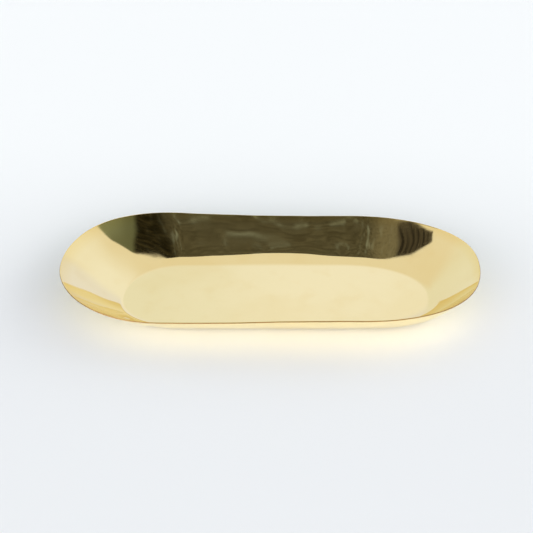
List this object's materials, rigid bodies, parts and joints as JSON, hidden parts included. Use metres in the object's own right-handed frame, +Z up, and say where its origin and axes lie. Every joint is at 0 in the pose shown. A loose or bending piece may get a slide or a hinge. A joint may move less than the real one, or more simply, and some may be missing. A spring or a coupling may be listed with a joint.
{
  "type": "oval tray",
  "caption": "Shallow oval tray of thin brass sheet with a flat bottom, flared curving walls and a bare, slightly wavy hand-formed rim.",
  "frame": {"origin": "middle of the tray's footprint, on the plane its flat underside rests on", "axes": "+X along the length of the tray, +Y across it, +Z up out of its hollow"},
  "size_m": [0.3, 0.1466, 0.0273],
  "materials": {
    "brass": "hand polished"
  },
  "bodies": {
    "root": {"tray": "brass"}
  },
  "joints": []
}
